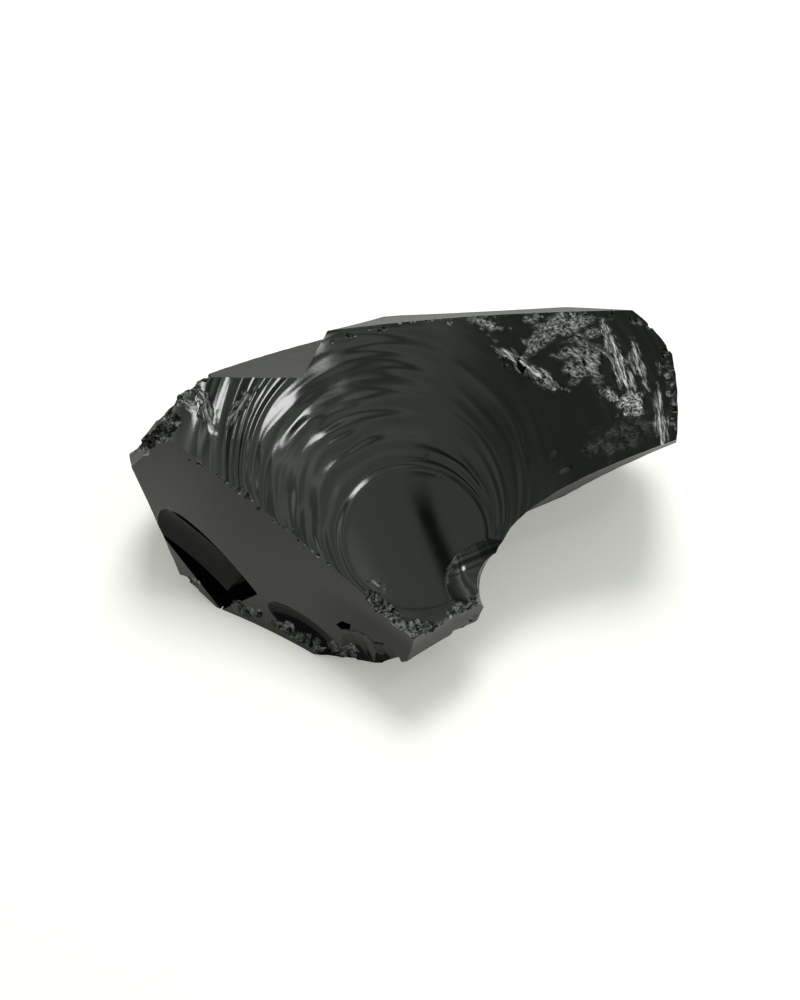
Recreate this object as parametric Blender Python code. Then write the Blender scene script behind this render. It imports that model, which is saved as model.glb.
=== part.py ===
"""Obsidian chunk: one broken lump of black volcanic glass, about 91 mm long.

The stone is made the way the real one came about. A rough block is the start, and each
flake that was struck off it leaves a hollow scar. Every scar is a cutter with a dished
floor, and the ridges of the stone are where two scars meet. Small bites and chips along
the ridges are the crushed edges.
Lengths in the tables are in millimetres; the model itself is in metres, with +Z up.
"""
import math
import random

import bmesh
import bpy
from mathutils import Matrix, Vector

MM = 0.001

# ---- driving dimensions (millimetres) ----
BLOCK_SIZE = (94.0, 64.0, 40.0)
BLOCK_MIDDLE = (0.0, -0.5, 20.0)
CUTTER_HEIGHT = 60.0
SCAR_STEP = 4.0
SMALL_SCAR_STEPS = 4
BOW_REACH = 10.0
MERGE_REACH = 0.001

# Top scar, with ripple marks: height over the base of its lowest point, the slope to the
# right and to the back, and the bow and fold of its two troughs (see SCARS).
TOP_LOW_POINT = (1.6, -14.0, 18.6)
TOP_SLOPE = (-0.03, 0.20)
TOP_BOW = (0.69, 0.52)
TOP_FOLD = (20.0, 24.0)
TOP_TROUGH_MIDDLE = (3.0, -14.0)

# Ripples spread from the blow like rings on water. Each row gives a ring's radius and its
# middle: the middles drift away from the blow, so that the rings nearly touch beside it.
RING_PATH = (
    (0.0, (1.6, -14.0)),
    (11.4, (1.6, -14.0)),
    (19.3, (-2.7, -8.4)),
    (23.5, (-2.6, -4.6)),
    (35.0, (5.3, -3.3)),
    (90.0, (5.3, -3.3)),
)
EYE_RADIUS = 11.4
EYE_RINGS = 4
RIPPLE_LENGTH = 1.3
RIPPLE_HEIGHT = 0.12
RIPPLE_COUNT = 15
OUTER_RADIUS = 72.0
OUTER_RINGS = 10
SPOKES = 64

# Each flake scar: the middle of its floor, the way it faces (compass angle from +X and
# tilt above level, degrees) and how far it is rolled about that; its half width and half
# height; its bow across and along, which is how far the floor rises 10 mm from the middle
# (below zero, it bulges); and its fold, past which the floor runs up straight.
PLAIN_SCAR = dict(roll=0, half=(60, 40), bow=(0.2, 0.2), fold=(60, 60))
SCARS = {
    "band": dict(middle=(-18, -17.3, 15), facing=(240, 20), half=(44, 40), bow=(0.42, -0.35)),
    "left_end": dict(middle=(-40.4, 4, 26.6), facing=(172, 38), half=(40, 40), bow=(0.2, 0.1)),
    "left_low": dict(middle=(-41.4, -3.1, 12), facing=(197, -12), half=(40, 40), bow=(0.2, 0.1)),
    "left_back": dict(middle=(-25.6, 17, 24), facing=(126, 14), bow=(-0.4, 0.1)),
    "grey_facet": dict(middle=(-30.6, 18, 25.6), facing=(76, 56), roll=-19, half=(16, 30), bow=(0.3, 0.1)),
    "back_top": dict(middle=(12, 26.4, 25.4), facing=(95, 41), half=(70, 40), bow=(-0.1, 0.2)),
    "back_wall": dict(middle=(6, 29, 14), facing=(89, -8), half=(70, 40), bow=(-0.1, 0.2)),
    "right_end": dict(middle=(43.8, 11.9, 24), facing=(8, 4), bow=(-1.2, 0.1)),
    "horn_tip": dict(middle=(41.3, 16.4, 31.4), facing=(35, 12), half=(20, 40), bow=(-1.8, 0.1)),
    "horn_under": dict(middle=(40, 9, 13), facing=(350, -46), half=(50, 40), bow=(-0.2, 0.4)),
    "notch": dict(middle=(13.3, -13.2, 15.2), facing=(342, -32), bow=(3.9, 0.3), fold=(14, 60)),
    "strike_corner": dict(middle=(8.5, -25.8, 12), facing=(305, 4), half=(30, 30), bow=(0.3, 0.2)),
    "strike_under": dict(middle=(8, -25.2, 9.5), facing=(300, -38), half=(30, 30), bow=(0.3, 0.3)),
    "front_under": dict(middle=(-4, -26.6, 2.6), facing=(268, -40), half=(60, 30), bow=(0.2, 0.5)),
    "left_under": dict(middle=(-37.4, -10.5, 3.5), facing=(215, -34), half=(60, 30), bow=(0.3, 0.7)),
    "left_back_under": dict(middle=(-38, 8, 6), facing=(158, -30), bow=(0.4, 0.4)),
    "back_hollow": dict(middle=(11, 26.6, 12), facing=(84, 2), half=(24, 20), bow=(1.1, 1.4)),
    "back_low": dict(middle=(-15, 21, 6), facing=(116, -24), half=(26, 16), bow=(1, 1.2)),
    "back_right": dict(middle=(33, 22.5, 13), facing=(58, -16), half=(30, 24), bow=(0.8, 1.2)),
    "long_hollow": dict(
        middle=(-37.5, -7.4, 17), facing=(246, -12), roll=-44,
        half=(18, 4.5), bow=(0.75, 18), fold=(60, 4),
    ),
    "front_hollow": dict(
        middle=(-16.1, -20.2, 5.4), facing=(240, -4), roll=-12,
        half=(8, 3.5), bow=(3, 26), fold=(60, 3),
    ),
}

BITE_FINENESS = 3

# Round bites: a point on the stone, the way the bite faces, its width and its depth.
BITES = {
    "shell": dict(point=(10.8, -20.6, 17.4), facing=(305, 80), width=11.0, depth=1.0),
    "shell_edge": dict(point=(13.9, -20.4, 16.2), facing=(0, -10), width=9.6, depth=2.4),
    "front_facet": dict(point=(-8.4, -26.4, 6.6), facing=(262, 24), width=6, depth=1),
    "front_corner": dict(point=(-4, -28.6, 8), facing=(266, 10), width=6, depth=1.3),
    "ridge_nick": dict(point=(-10.6, -23.2, 11.4), facing=(236, 20), width=2.6, depth=0.9),
    "left_tip": dict(point=(-41, -2.4, 28.6), facing=(225, 45), width=5, depth=0.9),
    "notch_pit": dict(point=(24.6, -1.6, 23.9), facing=(250, 66), width=2.4, depth=0.5),
    "eye_pit": dict(point=(5.4, -1.4, 21.8), facing=(270, 70), width=1.6, depth=0.4),
}

# Angular chips on the top, each a flat floor that ends in a small step: a point on the
# stone, the way the floor faces, its roll, its length and width, and its depth.
STEPS = {
    "left_v": dict(point=(-31, 5, 30.3), facing=(322, 58), roll=20, size=(6, 3), depth=0.3),
    "left_v_beside": dict(point=(-35.4, 2.6, 31), facing=(338, 62), roll=60, size=(6, 2.6), depth=0.3),
    "left_lower": dict(point=(-31, -1, 28.3), facing=(326, 60), roll=75, size=(7, 2.4), depth=0.25),
    "horn_back": dict(point=(22.6, 20, 31.4), facing=(240, 60), roll=15, size=(6, 4), depth=0.35),
    "horn_middle": dict(point=(27.6, 15, 30.5), facing=(228, 60), roll=30, size=(6.6, 4.4), depth=0.4),
    "horn_dark": dict(point=(26.6, 18.6, 31.6), facing=(270, 58), roll=35, size=(5, 2.4), depth=0.4),
    "horn_end": dict(point=(36.4, 13, 31.3), facing=(222, 62), roll=80, size=(9, 3.4), depth=0.35),
    "horn_low": dict(point=(36, 6.4, 28.8), facing=(230, 62), roll=10, size=(5.4, 3), depth=0.35),
    "horn_pit": dict(point=(33.6, 8.4, 28.9), facing=(262, 60), roll=40, size=(3, 2), depth=0.35),
    "horn_corner": dict(point=(31.6, 2.4, 26.7), facing=(236, 62), roll=0, size=(6, 2), depth=0.3),
}

# Crushed edges: a path along the ridge, the way its chips face, how many there are and how
# wide, from the narrowest to the widest.
EDGES = {
    "strike": dict(
        path=((-6.4, -22.7, 18), (0, -28.6, 16.9), (5.5, -27.8, 15.8), (10.4, -24.2, 16), (13.4, -22, 15.4)),
        facing=(300, 38), count=18, width=(1.8, 4),
    ),
    "strike_low": dict(
        path=((0, -29.2, 7), (6.7, -26.3, 9.4), (11.6, -24.6, 11), (14.2, -22, 13.6)),
        facing=(300, -10), count=8, width=(2, 3.6),
    ),
    "band_ridge": dict(
        path=((-40.4, -1.6, 30.4), (-27.9, -7.2, 25.7), (-18.4, -13.8, 21.8), (-9.6, -21.6, 18.8)),
        facing=(250, 55), count=14, width=(0.9, 1.9),
    ),
    "left_foot": dict(
        path=((-42.6, -4, 8), (-40, -8, 4.4), (-36.4, -12, 3.6), (-32, -16.4, 3.4)),
        facing=(225, -5), count=9, width=(2, 3.8),
    ),
    "front_foot": dict(
        path=((-31, -14.4, 2.4), (-24.6, -18, 2.4), (-18.3, -21.7, 2.2), (-12.3, -24.7, 2.6), (-8, -27, 5)),
        facing=(245, 10), count=12, width=(2, 4),
    ),
    "left_top": dict(
        path=((-40.8, -0.6, 31), (-37, 4.4, 31.6), (-31, 10, 30.6)),
        facing=(140, 60), count=9, width=(1.8, 3.4),
    ),
    "back_ridge": dict(
        path=((-12.6, 16.6, 30.3), (-0.8, 20.9, 30.4), (15.6, 22.1, 31.2), (33.4, 20.4, 33.5), (40.6, 17, 33.6)),
        facing=(265, 70), count=12, width=(0.9, 2),
    ),
    "right_ridge": dict(
        path=((41.8, 13.4, 32.5), (42.6, 7.4, 30.3), (43, 0.6, 28)),
        facing=(330, 60), count=6, width=(0.9, 1.8),
    ),
}
EDGE_SEED = 7
EDGE_SCATTER = 0.4
EDGE_TURN = 30.0
CHIP_DEPTH_SHARE = (0.12, 0.22)
CHIP_ROUNDNESS = (0.6, 1.0)
CHIP_SPACING = 2.2
CHIP_SIDES = (5, 6, 7)
CHIP_HEIGHT = 1.2
CHIP_FLARE = 1.6


def compass(facing):
    """Unit vector for a compass angle and a tilt above level, both in degrees."""
    around, above = (math.radians(angle) for angle in facing)
    level = math.cos(above)
    return Vector((level * math.cos(around), level * math.sin(around), math.sin(above)))


def stand_on(middle, facing, roll):
    """Matrix that puts a cutter's floor at middle with its own +Z along facing."""
    outward = compass(facing)
    across = Vector((0.0, 0.0, 1.0)).cross(outward).normalized()
    along = outward.cross(across)
    turn = Matrix((across, along, outward)).transposed()
    turn = turn @ Matrix.Rotation(math.radians(roll), 3, "Z")
    return Matrix.Translation(Vector(middle) * MM) @ turn.to_4x4()


def trough(distance, bow, fold):
    """Height of a rounded trough at a distance from its middle line."""
    return 2 * bow * (fold / BOW_REACH) ** 2 * (math.hypot(1, distance / fold) - 1)


def close_above(mesh, height):
    """Close an open floor into a solid, with walls up to a flat lid at height."""
    rim = [edge for edge in mesh.edges if edge.is_boundary]
    raised = bmesh.ops.extrude_edge_only(mesh, edges=rim)["geom"]
    for vert in raised:
        if isinstance(vert, bmesh.types.BMVert):
            vert.co.z = height
    lid_rim = [edge for edge in raised if isinstance(edge, bmesh.types.BMEdge)]
    bmesh.ops.holes_fill(mesh, edges=lid_rim, sides=0)
    bmesh.ops.recalc_face_normals(mesh, faces=mesh.faces)


def finish_object(mesh, name, collection, matrix):
    """Turn a bmesh into an object that stands at matrix."""
    data = bpy.data.meshes.new(name)
    mesh.to_mesh(data)
    mesh.free()
    item = bpy.data.objects.new(name, data)
    item.matrix_world = matrix
    collection.objects.link(item)
    return item


def scar_cutter(name, middle, facing, roll, half, bow, fold, collection):
    """Cutter with a dished floor, for one flake scar."""
    mesh = bmesh.new()
    steps = [min(SCAR_STEP, reach / SMALL_SCAR_STEPS) for reach in half]
    columns, rows = (math.ceil(2 * reach / step) for reach, step in zip(half, steps))
    bmesh.ops.create_grid(mesh, x_segments=columns, y_segments=rows, size=1.0)
    for vert in mesh.verts:
        across = vert.co.x * half[0]
        along = vert.co.y * half[1]
        rise = trough(across, bow[0], fold[0]) + trough(along, bow[1], fold[1])
        vert.co = Vector((across, along, rise)) * MM
    close_above(mesh, CUTTER_HEIGHT * MM)
    return finish_object(mesh, name, collection, stand_on(middle, facing, roll))


def top_height(x, y):
    """Height of the smooth top scar over the base."""
    low_x, low_y, low_z = TOP_LOW_POINT
    plane = low_z + TOP_SLOPE[0] * (x - low_x) + TOP_SLOPE[1] * (y - low_y)
    back = trough(x - TOP_TROUGH_MIDDLE[0], TOP_BOW[0], TOP_FOLD[0])
    across = trough(y - TOP_TROUGH_MIDDLE[1], TOP_BOW[1], TOP_FOLD[1])
    return plane + back + across


def ring_middle(radius):
    """Middle of the ripple ring of a radius, read off the ring path."""
    for (inner, start), (outer, end) in zip(RING_PATH, RING_PATH[1:]):
        if radius <= outer:
            share = (radius - inner) / (outer - inner)
            return Vector(start).lerp(Vector(end), share)
    return Vector(RING_PATH[-1][1])


def ring_table():
    """Radius and ripple height of every ring, from the eye outwards."""
    rings = [(EYE_RADIUS * step / EYE_RINGS, 0.0) for step in range(EYE_RINGS)]
    for half_wave in range(2 * RIPPLE_COUNT + 1):
        lift = RIPPLE_HEIGHT if half_wave % 2 else 0.0
        rings.append((EYE_RADIUS + half_wave * RIPPLE_LENGTH / 2, lift))
    last = rings[-1][0]
    for step in range(1, OUTER_RINGS + 1):
        rings.append((last + (OUTER_RADIUS - last) * step / OUTER_RINGS, 0.0))
    return rings


def top_cutter(name, collection):
    """Cutter for the top scar: a fan of ripple rings round the eye."""
    rings = ring_table()
    mesh = bmesh.new()
    bmesh.ops.create_grid(mesh, x_segments=SPOKES, y_segments=len(rings) - 1, size=1.0)
    for vert in mesh.verts:
        angle = math.pi * (vert.co.x + 1)
        radius, lift = rings[round((vert.co.y + 1) / 2 * (len(rings) - 1))]
        middle = ring_middle(radius)
        x = middle.x + radius * math.cos(angle)
        y = middle.y + radius * math.sin(angle)
        vert.co = Vector((x, y, top_height(x, y) + lift)) * MM
    bmesh.ops.remove_doubles(mesh, verts=mesh.verts, dist=MERGE_REACH * MM)
    close_above(mesh, 2 * CUTTER_HEIGHT * MM)
    return finish_object(mesh, name, collection, Matrix())


def bite_cutter(name, point, facing, width, depth, collection):
    """Ball that takes a round, shell-shaped bite out of the stone."""
    radius = ((width / 2) ** 2 + depth**2) / (2 * depth)
    middle = Vector(point) + compass(facing) * (radius - depth)
    mesh = bmesh.new()
    bmesh.ops.create_icosphere(mesh, subdivisions=BITE_FINENESS, radius=radius * MM)
    return finish_object(mesh, name, collection, Matrix.Translation(middle * MM))


def add_chip(mesh, point, facing, roll, size, depth, sides):
    """Add a flared block whose flat floor and sides cut one angular chip."""
    length, width = size
    height = CHIP_HEIGHT * length
    shape = Matrix.Diagonal((length * MM, width * MM, height * MM, 1.0))
    lift = Matrix.Translation((0.0, 0.0, (height / 2 - depth) * MM))
    bmesh.ops.create_cone(
        mesh, cap_ends=True, segments=sides, radius1=0.5, radius2=0.5 * CHIP_FLARE, depth=1.0,
        matrix=stand_on(point, facing, roll) @ lift @ shape,
    )


def step_cutter(name, point, facing, roll, size, depth, collection):
    """Cutter for one angular chip on the top."""
    mesh = bmesh.new()
    add_chip(mesh, point, facing, roll, size, depth, CHIP_SIDES[0])
    return finish_object(mesh, name, collection, Matrix())


def stretches(path):
    """The straight stretches of a path, each with its length."""
    corners = [Vector(corner) for corner in path]
    return [(start, end, (end - start).length) for start, end in zip(corners, corners[1:])]


def point_on_path(path, distance):
    """Point at a distance along a path."""
    for start, end, length in stretches(path):
        if distance <= length:
            return start.lerp(end, distance / length)
        distance -= length
    return Vector(path[-1])


def edge_cutters(name, edge, chance, collection):
    """Cutters for a crushed edge, with its chips dealt out so that none meets another."""
    count = edge["count"]
    path_length = sum(length for _, _, length in stretches(edge["path"]))
    passes = math.ceil(count * edge["width"][1] * CHIP_SPACING / path_length)
    meshes = [bmesh.new() for _ in range(passes)]
    for number in range(count):
        distance = path_length * (number + chance.random() / 2) / count
        shift = Vector([chance.uniform(-EDGE_SCATTER, EDGE_SCATTER) for _ in range(3)])
        facing = [angle + chance.uniform(-EDGE_TURN, EDGE_TURN) for angle in edge["facing"]]
        width = chance.uniform(*edge["width"])
        size = (width, width * chance.uniform(*CHIP_ROUNDNESS))
        depth = width * chance.uniform(*CHIP_DEPTH_SHARE)
        point = point_on_path(edge["path"], distance) + shift
        roll = chance.uniform(0.0, 180.0)
        add_chip(meshes[number % passes], point, facing, roll, size, depth, chance.choice(CHIP_SIDES))
    return [finish_object(mesh, f"{name}_{turn}", collection, Matrix()) for turn, mesh in enumerate(meshes)]


def glass_material():
    """Black volcanic glass, polished by the fracture itself."""
    material = bpy.data.materials.new("obsidian")
    material.use_nodes = True
    shader = material.node_tree.nodes["Principled BSDF"]
    shader.inputs["Base Color"].default_value = (0.006, 0.006, 0.007, 1.0)
    shader.inputs["Roughness"].default_value = 0.08
    shader.inputs["Metallic"].default_value = 0.0
    return material


def rough_block(collection):
    """The block that the flakes were struck from."""
    mesh = bmesh.new()
    bmesh.ops.create_cube(mesh, size=1.0)
    size = Matrix.Diagonal(Vector(BLOCK_SIZE) * MM)
    bmesh.ops.transform(mesh, matrix=size.to_4x4(), verts=mesh.verts)
    bmesh.ops.translate(mesh, vec=Vector(BLOCK_MIDDLE) * MM, verts=mesh.verts)
    return finish_object(mesh, "obsidian_chunk", collection, Matrix())


def strike(stone, cutter):
    """Take one cutter's flake off the stone."""
    cutter.hide_render = True
    cutter.display_type = "WIRE"
    cutter.parent = stone.parent
    cut = stone.modifiers.new(cutter.name, "BOOLEAN")
    cut.operation = "DIFFERENCE"
    cut.solver = "EXACT"
    cut.object = cutter


def centre_over_origin(stone):
    """Move the empty that carries everything, so the stone's box is centred over the origin."""
    solid = stone.evaluated_get(bpy.context.evaluated_depsgraph_get())
    corners = [Vector(corner) for corner in solid.bound_box]
    middle = (corners[0] + corners[6]) / 2
    stone.parent.location = (-middle.x, -middle.y, 0.0)
    bpy.context.view_layer.update()


def new_collection(name):
    """A collection linked to the scene."""
    collection = bpy.data.collections.new(name)
    bpy.context.scene.collection.children.link(collection)
    return collection


for leftover in list(bpy.data.objects):
    bpy.data.objects.remove(leftover)

stone_collection = new_collection("obsidian_chunk")
cutter_collection = new_collection("flake_cutters")
carrier = bpy.data.objects.new("carrier", None)
stone_collection.objects.link(carrier)

stone = rough_block(stone_collection)
stone.parent = carrier
stone.data.materials.append(glass_material())
strike(stone, top_cutter("cut_top", cutter_collection))
for scar_name, own_shape in SCARS.items():
    scar_shape = {**PLAIN_SCAR, **own_shape}
    strike(stone, scar_cutter("cut_" + scar_name, collection=cutter_collection, **scar_shape))
for bite_name, bite in BITES.items():
    strike(stone, bite_cutter("bite_" + bite_name, collection=cutter_collection, **bite))
for step_name, step in STEPS.items():
    strike(stone, step_cutter("step_" + step_name, collection=cutter_collection, **step))
chance = random.Random(EDGE_SEED)
for edge_name, edge in EDGES.items():
    for cutter in edge_cutters("edge_" + edge_name, edge, chance, cutter_collection):
        strike(stone, cutter)
centre_over_origin(stone)
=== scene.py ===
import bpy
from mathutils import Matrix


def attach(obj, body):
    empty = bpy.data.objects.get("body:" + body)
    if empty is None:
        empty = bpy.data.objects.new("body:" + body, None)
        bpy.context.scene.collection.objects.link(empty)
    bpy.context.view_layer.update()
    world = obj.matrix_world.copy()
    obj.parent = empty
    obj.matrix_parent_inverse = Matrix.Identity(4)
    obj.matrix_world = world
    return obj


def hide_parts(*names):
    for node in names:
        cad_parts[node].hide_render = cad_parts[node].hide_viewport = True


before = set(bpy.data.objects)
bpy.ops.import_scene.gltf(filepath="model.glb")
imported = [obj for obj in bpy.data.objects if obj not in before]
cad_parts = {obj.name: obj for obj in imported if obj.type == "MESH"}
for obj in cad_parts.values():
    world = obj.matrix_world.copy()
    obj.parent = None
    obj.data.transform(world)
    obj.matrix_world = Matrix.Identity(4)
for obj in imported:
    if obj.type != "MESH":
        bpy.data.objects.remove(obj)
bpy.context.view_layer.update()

import math
import random

import bpy
import numpy as np
from mathutils import Matrix, Vector, noise

# ---- The rough lump ----
# A lump of black volcanic glass, as it was before any flake was struck off it. It is only
# the start of the stone: every face that shows is the scar of a flake, cut further down.
MM = 0.001
LUMP_SIZE = Vector((94.0, 64.0, 40.0)) * MM
LUMP_MIDDLE = Vector((0.0, -0.5, 20.0)) * MM

# Lengths in the tables below are millimetres from where the lump lay when it was struck, and
# LUMP_SHIFT brings them to the frame of the finished stone.
LUMP_SHIFT = Vector((0.088, 0.979, 0.0)) * MM

# Each face of the stone keeps the finish of the flake that left it, and a flake that isn't
# marked leaves fresh glass.
FINISHES = ("fresh", "frosted", "crushed", "hollow_shade")


def deselect_all():
    """Let go of everything, because an operator acts on all that is selected."""
    bpy.ops.object.select_all(action="DESELECT")


def put_in_frame(item, matrix):
    """Move an object's mesh to its place on the lump, and leave the object at the origin."""
    item.data.transform(Matrix.Translation(LUMP_SHIFT) @ matrix)
    item.data.update()


deselect_all()
bpy.ops.mesh.primitive_cube_add(size=1.0)
stone = bpy.context.object
stone.name = "glass_chunk"
for finish in FINISHES:
    stone.data.materials.append(bpy.data.materials.new(finish))
put_in_frame(stone, Matrix.Translation(LUMP_MIDDLE) @ Matrix.Diagonal((*LUMP_SIZE, 1.0)))

# ---- The large flake scars ----
# Each blow took off a flake and left a slightly dished face, as glass does. The sharp ridges
# of the stone are where two of these faces meet. Each face is cut by a block whose floor has
# the shape of the scar.
CUTTER_HEIGHT = 60.0
WELD_GAP = 0.001 * MM
FLOOR_STEP = 1.1
FLOOR_STEPS_LEAST = 8

# Faint ripples cross most scars. They spread from one point of the floor, reach their full
# height CALM_REACH from it, and their spacing drifts.
SCAR_STRUCK = (15.0, 19.0)
SCAR_RIPPLE = 0.045
SCAR_RIPPLE_RATE = 1.7
SCAR_DRIFT = 1.5
SCAR_DRIFT_REACH = 4.0
CALM_REACH = 8.0
SMOOTH = ("band", "grey_facet", "back_top", "long_hollow", "front_hollow")

# The glass of some scars broke finely frosted, and two narrow hollows at the front get painted shade.
FROSTED = (
    "grey_facet", "back_top", "back_wall", "left_end", "notch", "horn_under", "back_hollow", "back_low",
)
SHADED_HOLLOWS = ("long_hollow", "front_hollow")

# A floor lies at middle and looks along facing, which is a compass angle from +X and a tilt
# above level in degrees. bow is how far it rises BOW_REACH from its middle, across and along
# (below zero, it bulges), and past its fold it runs up straight.
BOW_REACH = 10.0
PLAIN_SCAR = dict(roll=0, half=(60, 40), bow=(0.2, 0.2), fold=(60, 60))
SCARS = {
    "band": dict(middle=(-18, -17.3, 15), facing=(240, 20), half=(44, 40), bow=(0.42, -0.35)),
    "left_end": dict(middle=(-40.4, 4, 26.6), facing=(172, 38), half=(40, 40), bow=(0.2, 0.1)),
    "left_low": dict(middle=(-41.4, -3.1, 12), facing=(197, -12), half=(40, 40), bow=(0.2, 0.1)),
    "left_back": dict(middle=(-25.6, 17, 24), facing=(126, 14), bow=(-0.4, 0.1)),
    "grey_facet": dict(middle=(-30.6, 18, 25.6), facing=(76, 56), roll=-19, half=(16, 30), bow=(0.3, 0.1)),
    "back_top": dict(middle=(12, 26.4, 25.4), facing=(95, 41), half=(70, 40), bow=(-0.1, 0.2)),
    "back_wall": dict(middle=(6, 29, 14), facing=(89, -8), half=(70, 40), bow=(-0.1, 0.2)),
    "right_end": dict(middle=(43.8, 11.9, 24), facing=(8, 4), bow=(-1.2, 0.1)),
    "horn_tip": dict(middle=(41.3, 16.4, 31.4), facing=(35, 12), half=(20, 40), bow=(-1.8, 0.1)),
    "horn_under": dict(middle=(40, 9, 13), facing=(350, -46), half=(50, 40), bow=(-0.2, 0.4)),
    "notch": dict(middle=(13.3, -13.2, 15.2), facing=(342, -32), bow=(3.9, 0.3), fold=(14, 60)),
    "strike_corner": dict(middle=(8.5, -25.8, 12), facing=(305, 4), half=(30, 30), bow=(0.3, 0.2)),
    "strike_under": dict(middle=(8, -25.2, 9.5), facing=(300, -38), half=(30, 30), bow=(0.3, 0.3)),
    "front_under": dict(middle=(-4, -26.6, 2.6), facing=(268, -40), half=(60, 30), bow=(0.2, 0.5)),
    "left_under": dict(middle=(-37.4, -10.5, 3.5), facing=(215, -34), half=(60, 30), bow=(0.3, 0.7)),
    "left_back_under": dict(middle=(-38, 8, 6), facing=(158, -30), bow=(0.4, 0.4)),
    "back_hollow": dict(middle=(11, 26.6, 12), facing=(84, 2), half=(24, 20), bow=(1.1, 1.4)),
    "back_low": dict(middle=(-15, 21, 6), facing=(116, -24), half=(26, 16), bow=(1.0, 1.2)),
    "back_right": dict(middle=(33, 22.5, 13), facing=(58, -16), half=(30, 24), bow=(0.8, 1.2)),
    "long_hollow": dict(
        middle=(-37.5, -7.4, 17), facing=(246, -12), roll=-44, half=(18, 4.5), bow=(0.75, 18), fold=(60, 4),
    ),
    "front_hollow": dict(
        middle=(-16.1, -20.2, 5.4), facing=(240, -4), roll=-12, half=(8, 3.5), bow=(3, 26), fold=(60, 3),
    ),
}


def compass(facing):
    """Unit vector for a compass angle and a tilt above level."""
    around, above = (math.radians(angle) for angle in facing)
    level = math.cos(above)
    return Vector((level * math.cos(around), level * math.sin(around), math.sin(above)))


def stand_on(middle, facing, roll):
    """Place of a cutter whose floor lies at middle, with its own +Z along facing."""
    outward = compass(facing)
    across = Vector((0.0, 0.0, 1.0)).cross(outward).normalized()
    turn = Matrix((across, outward.cross(across), outward)).transposed()
    turn = turn @ Matrix.Rotation(math.radians(roll), 3, "Z")
    return Matrix.Translation(Vector(middle) * MM) @ turn.to_4x4()


def trough(distance, bow, fold):
    """Height of a rounded trough at a distance from its middle line."""
    return 2 * bow * (fold / BOW_REACH) ** 2 * (np.hypot(1, distance / fold) - 1)


def read_points(item):
    """Places of all the corners of an object's mesh."""
    points = np.empty(len(item.data.vertices) * 3)
    item.data.vertices.foreach_get("co", points)
    return points.reshape(-1, 3)


def write_points(item, points):
    """Move all the corners of an object's mesh."""
    item.data.vertices.foreach_set("co", points.ravel())
    item.data.update()


def close_above(item, height):
    """Raise the rim of an open floor into walls, and close them with a flat lid."""
    deselect_all()
    item.select_set(True)
    bpy.context.view_layer.objects.active = item
    bpy.ops.object.mode_set(mode="EDIT")
    bpy.ops.mesh.select_all(action="SELECT")
    bpy.ops.mesh.remove_doubles(threshold=WELD_GAP)
    bpy.ops.mesh.region_to_loop()
    bpy.ops.mesh.extrude_region_move(TRANSFORM_OT_translate={"value": (0, 0, height * MM)})
    bpy.ops.transform.resize(value=(1, 1, 0), center_override=(0, 0, height * MM))
    bpy.ops.mesh.edge_face_add()
    bpy.ops.mesh.select_all(action="SELECT")
    bpy.ops.mesh.normals_make_consistent(inside=False)
    bpy.ops.object.mode_set(mode="OBJECT")


def strike(flake):
    """Cut one flake off the stone, and throw the flake away."""
    deselect_all()
    bpy.context.view_layer.objects.active = stone
    cut = stone.modifiers.new("cut", "BOOLEAN")
    cut.operation = "DIFFERENCE"
    cut.solver = "MANIFOLD"
    cut.object = flake
    bpy.ops.object.modifier_apply(modifier=cut.name)
    bpy.data.objects.remove(flake)


def scar_flake(middle, facing, roll, half, bow, fold, ripple):
    """Block with a dished and rippled floor, for one flake scar."""
    columns, rows = (math.ceil(2 * reach / min(FLOOR_STEP, reach / FLOOR_STEPS_LEAST)) for reach in half)
    deselect_all()
    bpy.ops.mesh.primitive_grid_add(x_subdivisions=columns, y_subdivisions=rows, size=2)
    flake = bpy.context.object
    points = read_points(flake)
    points[:, :2] *= half
    points[:, 2] = trough(points[:, 0], bow[0], fold[0]) + trough(points[:, 1], bow[1], fold[1])
    reach = np.hypot(points[:, 0] - SCAR_STRUCK[0], points[:, 1] - SCAR_STRUCK[1])
    wave = np.sin(SCAR_RIPPLE_RATE * reach + SCAR_DRIFT * np.sin(reach / SCAR_DRIFT_REACH))
    points[:, 2] += ripple * wave * np.clip(reach / CALM_REACH, 0, 1)
    write_points(flake, points * MM)
    close_above(flake, CUTTER_HEIGHT)
    put_in_frame(flake, stand_on(middle, facing, roll))
    return flake


def mark_finish(flake, finish):
    """Give a flake the stone's finishes, so that the faces that it leaves have this one."""
    for material in stone.data.materials:
        flake.data.materials.append(material)
    kind = FINISHES.index(finish)
    flake.data.polygons.foreach_set("material_index", [kind] * len(flake.data.polygons))


for name, own_shape in SCARS.items():
    flake = scar_flake(ripple=0 if name in SMOOTH else SCAR_RIPPLE, **{**PLAIN_SCAR, **own_shape})
    finish = "fresh"
    if name in FROSTED:
        finish = "frosted"
    # The two narrow front hollows are given painted shade.
    if name in SHADED_HOLLOWS:
        finish = "hollow_shade"
    mark_finish(flake, finish)
    strike(flake)

# ---- Bites and chips ----
# Small pieces burst off where the stone was struck or knocked: round, shell-shaped bites,
# and angular chips with a flat floor that ends in a small step.
BITES = {
    "shell": dict(point=(10.8, -20.6, 17.4), facing=(305, 80), width=11.0, depth=1.0),
    "shell_edge": dict(point=(13.9, -20.4, 16.2), facing=(0, -10), width=9.6, depth=2.4),
    "front_facet": dict(point=(-8.4, -26.4, 6.6), facing=(262, 24), width=6.0, depth=1.0),
    "front_corner": dict(point=(-4, -28.6, 8), facing=(266, 10), width=6.0, depth=1.3),
    "left_tip": dict(point=(-41, -2.4, 28.6), facing=(225, 45), width=5.0, depth=0.9),
}
BITE_FINENESS = 5
STRUCK_POINT = (12.4, -22.4, 16.6)
BITE_RINGS = ((0.028, 1.25), (0.010, 0.7))
CHIP_TALLNESS = 1.2
CHIP_FLOOR = 0.5
CHIP_MOUTH = 0.8
STEP_SIDES = 5
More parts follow.
